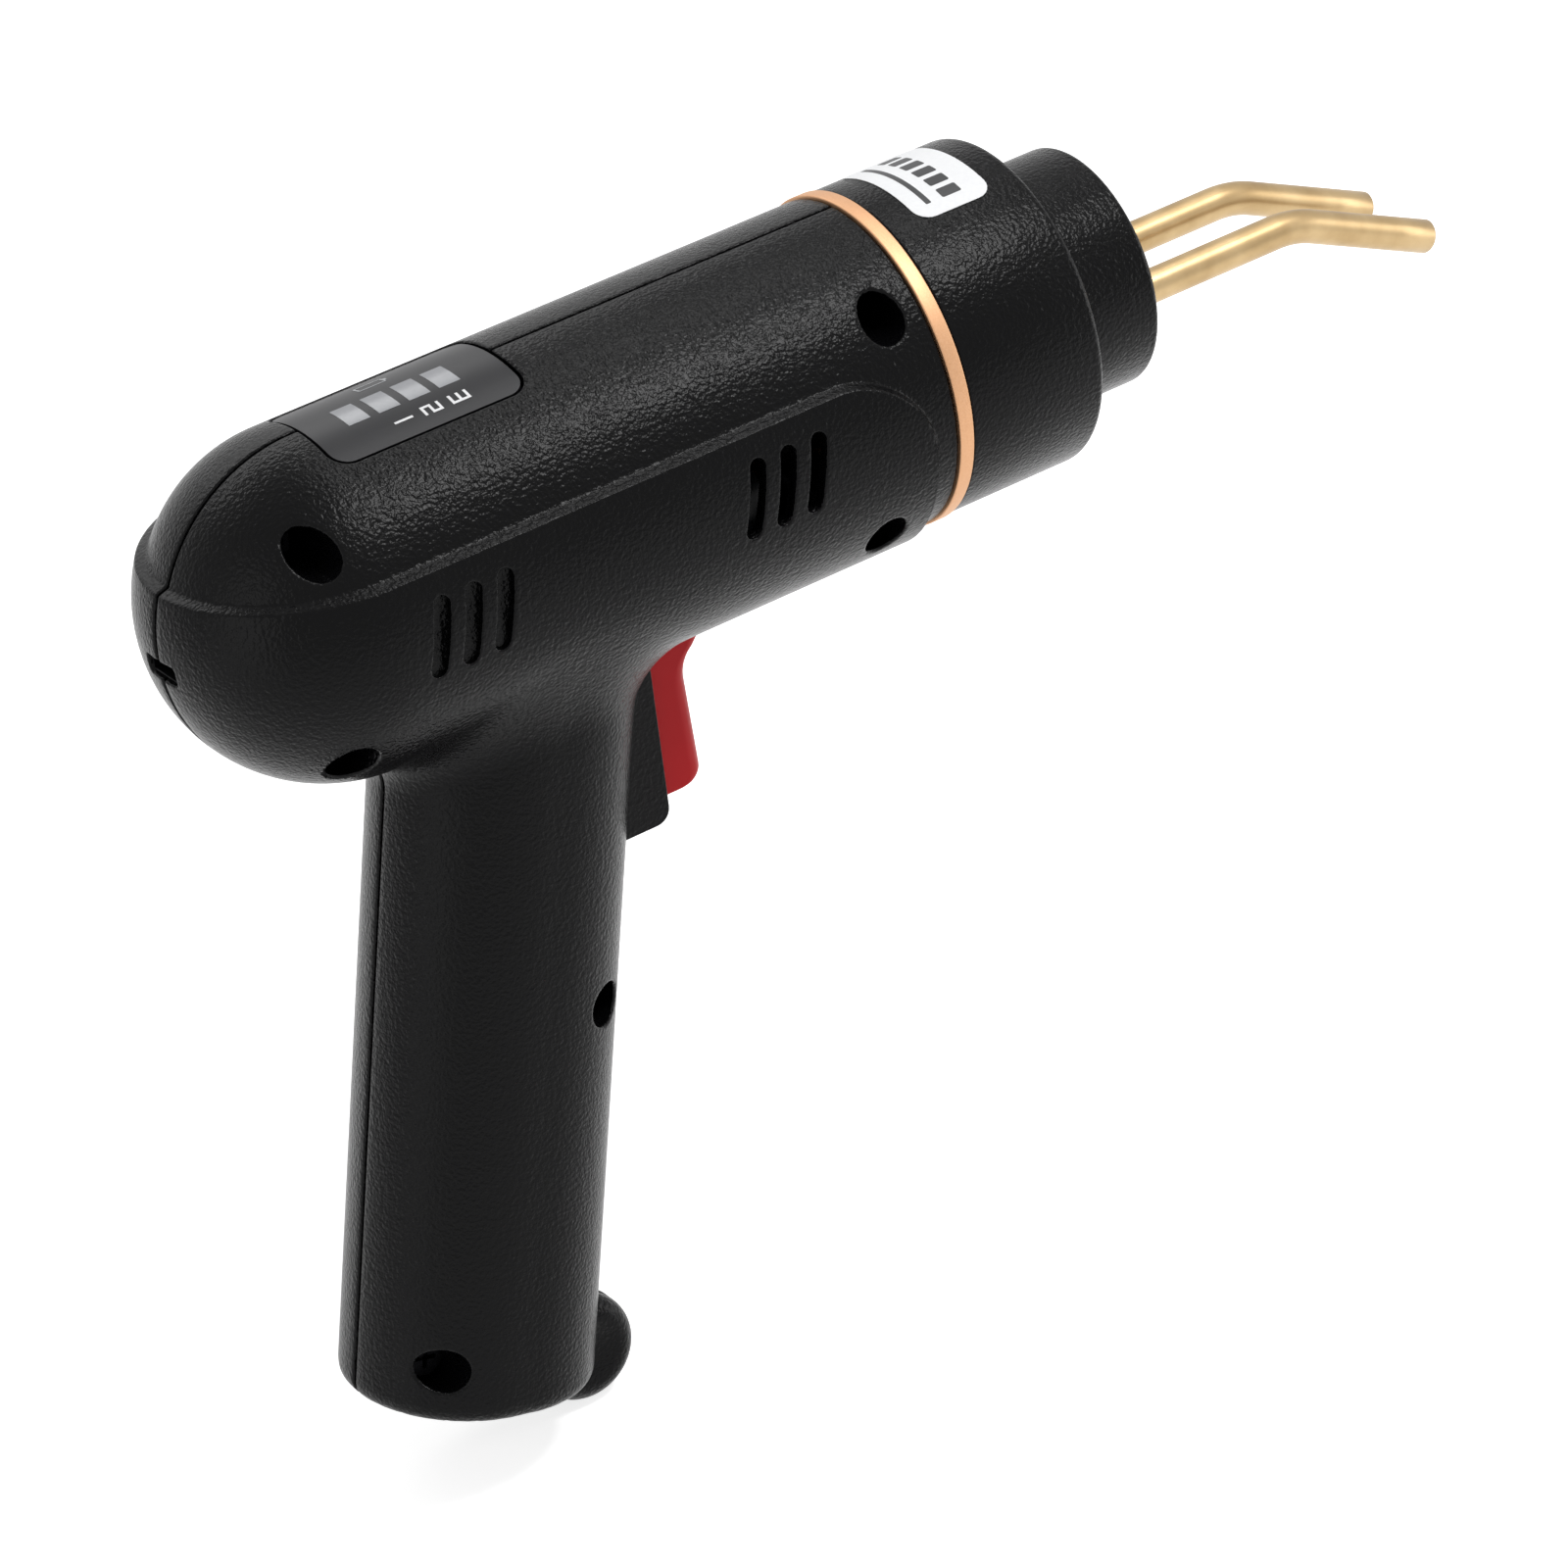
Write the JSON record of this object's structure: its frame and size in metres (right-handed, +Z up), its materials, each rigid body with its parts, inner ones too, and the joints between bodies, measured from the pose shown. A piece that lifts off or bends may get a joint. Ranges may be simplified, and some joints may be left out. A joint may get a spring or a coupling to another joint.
{
  "type": "cordless plastic welding gun",
  "caption": "Pistol-shaped cordless hot stapler with a casing in two halves, a stepped nose, bent brass electrode rods, a sprung trigger and a battery gauge window.",
  "frame": {"origin": "centre of the nozzle's flat front face, on the barrel's axis", "axes": "+X forward out of the nozzle along the barrel, +Y to the tool's left, +Z up, with the grip hanging down and leaning back"},
  "size_m": [0.2103, 0.052, 0.1644],
  "materials": {
    "casing": "black ABS, fine spark-eroded grain",
    "ring": "copper-coloured anodised aluminium, fine turned",
    "nose": "black heat-resistant nylon, fine grain",
    "label": "white coated sticker",
    "brass": "drawn brass, lightly polished",
    "ceramic": "fired steatite, unglazed",
    "phenolic": "phenolic paper laminate",
    "steel": "zinc plated steel",
    "lead": "red silicone insulation",
    "copper": "bare copper plate",
    "trigger": "red moulded ABS, fine matte",
    "switch": "black moulded nylon, fine matte",
    "tin": "nickel plated strip",
    "wire": "yellow silicone insulation",
    "window": "smoked polycarbonate, glossy",
    "lights": "milky light guides",
    "board": "green solder mask",
    "chip": "black epoxy mouldings",
    "sink": "extruded aluminium",
    "cell": "shrink sleeve",
    "cradle": "grey moulded nylon",
    "socket": "tinned steel shell"
  },
  "bodies": {
    "gun": {"casing_right": "casing", "casing_left": "casing", "trim_ring": "ring", "nose_collar": "nose", "nose_label": "label", "electrode_left": "brass", "electrode_right": "brass", "insulator_disc": "ceramic", "terminal_carrier": "phenolic", "terminal_blocks": "brass", "clamp_screws": "steel", "power_leads": "lead", "lead_lugs": "copper", "trigger_spring": "steel", "switch_body": "switch", "switch_terminals": "tin", "switch_wires": "wire", "gauge_window": "window", "gauge_board": "board", "gauge_lights": "lights", "gauge_pins": "brass", "control_board": "board", "power_mosfets": "chip", "heat_sink": "sink", "board_parts": "chip", "barrel_cells": "cell", "grip_cell": "cell", "cell_cradle": "cradle", "cell_tabs": "tin", "charge_board": "board", "charge_socket": "socket", "charge_wires": "lead", "casing_screws": "steel"},
    "trigger": {"trigger": "trigger"}
  },
  "joints": [
    {"name": "trigger_pull", "type": "slide", "parent": "gun", "child": "trigger", "axis": [-1, 0, 0], "range_m": [0, 0.0045], "stiffness_N_per_m": 420, "springref_m": -0.004, "deforming": ["trigger_spring"]}
  ]
}
